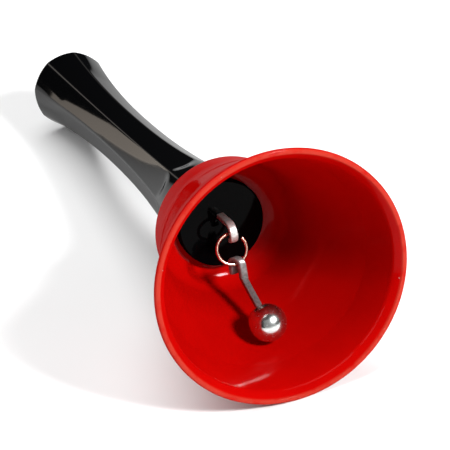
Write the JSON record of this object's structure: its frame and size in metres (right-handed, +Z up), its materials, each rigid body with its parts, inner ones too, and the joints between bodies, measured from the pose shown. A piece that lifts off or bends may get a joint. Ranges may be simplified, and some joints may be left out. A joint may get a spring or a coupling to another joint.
{
  "type": "hand bell",
  "caption": "Hand bell lying on its side: a red flared metal cup, a black eight-sided grip, and a ball clapper hung from a hook by an open jump ring.",
  "frame": {"origin": "centre of the object's footprint box, on the plane that the bell lies on", "axes": "+Y along the bell from its mouth towards the end of its grip, +Z up, +X across the mouth"},
  "size_m": [0.076, 0.1947, 0.0753],
  "materials": {
    "red_enamel": "gloss enamel on pressed steel",
    "black_moulding": "polished black moulding",
    "zinc_steel": "dull zinc plate",
    "copper_wire": "bright copper plate",
    "dark_steel": "dull nickel on drawn bar",
    "ball_steel": "polished steel"
  },
  "bodies": {
    "bell": {"bell_cup": "red_enamel", "clamp_plug": "black_moulding", "grip": "black_moulding", "captive_nut": "zinc_steel", "hanger_hook": "zinc_steel"},
    "ring": {"jump_ring": "copper_wire"},
    "clapper": {"clapper_rod": "dark_steel", "clapper_ball": "ball_steel"}
  },
  "joints": [
    {"name": "ring_swing", "type": "hinge", "parent": "bell", "child": "ring", "pos_m": [0, -0.0522, 0.03175], "axis": [-1, 0, 0], "range_deg": [0, 70]},
    {"name": "clapper_swing", "type": "hinge", "parent": "ring", "child": "clapper", "pos_m": [-0.0011, -0.05645, 0.02397], "axis": [-1, 0, 0], "range_deg": [0, 43]}
  ]
}
